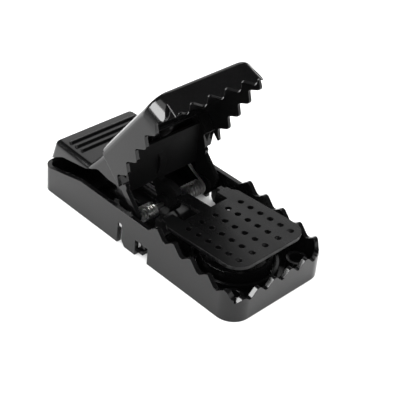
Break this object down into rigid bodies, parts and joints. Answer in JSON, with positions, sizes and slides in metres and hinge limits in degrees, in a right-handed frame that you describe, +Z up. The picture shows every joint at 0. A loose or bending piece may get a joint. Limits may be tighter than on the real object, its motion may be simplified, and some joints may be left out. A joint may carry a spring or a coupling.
{
  "type": "snap mouse trap",
  "caption": "Black moulded snap trap: toothed tray and sprung jaw with a press lever, perforated trigger pedal and twist-out bait cup.",
  "frame": {"origin": "centre of the tray's bottom face", "axes": "+Z up; +X across the width; -Y towards the toothed mouth, +Y towards the press lever"},
  "size_m": [0.0514, 0.1059, 0.0678],
  "materials": {
    "tray_plastic": "glossy black moulded plastic with soft rounded edges",
    "jaw_plastic": "glossy black moulded plastic with soft rounded edges",
    "pedal_plastic": "satin black moulded plastic",
    "cup_plastic": "black moulded plastic, slightly duller than the tray",
    "spring_steel": "bright drawn spring wire",
    "rod_steel": "bright drawn steel rod with cut ends"
  },
  "bodies": {
    "tray": {"base_tray": "tray_plastic", "axle_rod": "rod_steel", "left_spring": "spring_steel", "right_spring": "spring_steel"},
    "jaw": {"jaw": "jaw_plastic"},
    "pedal": {"trigger_pedal": "pedal_plastic"},
    "cup": {"bait_cup": "cup_plastic"}
  },
  "joints": [
    {"name": "jaw_hinge", "type": "hinge", "parent": "tray", "child": "jaw", "pos_m": [0, 0.0062, 0.0084], "axis": [1, 0, 0], "range_deg": [0, 69.6], "deforming": ["left_spring", "right_spring"]},
    {"name": "pedal_hinge", "type": "hinge", "parent": "tray", "child": "pedal", "pos_m": [0, -0.0066, 0.0088], "axis": [1, 0, 0], "range_deg": [0, 8]},
    {"name": "cup_twist", "type": "hinge", "parent": "tray", "child": "cup", "pos_m": [0, -0.0295, 0], "axis": [0, 0, 1], "range_deg": [0, 60]}
  ]
}
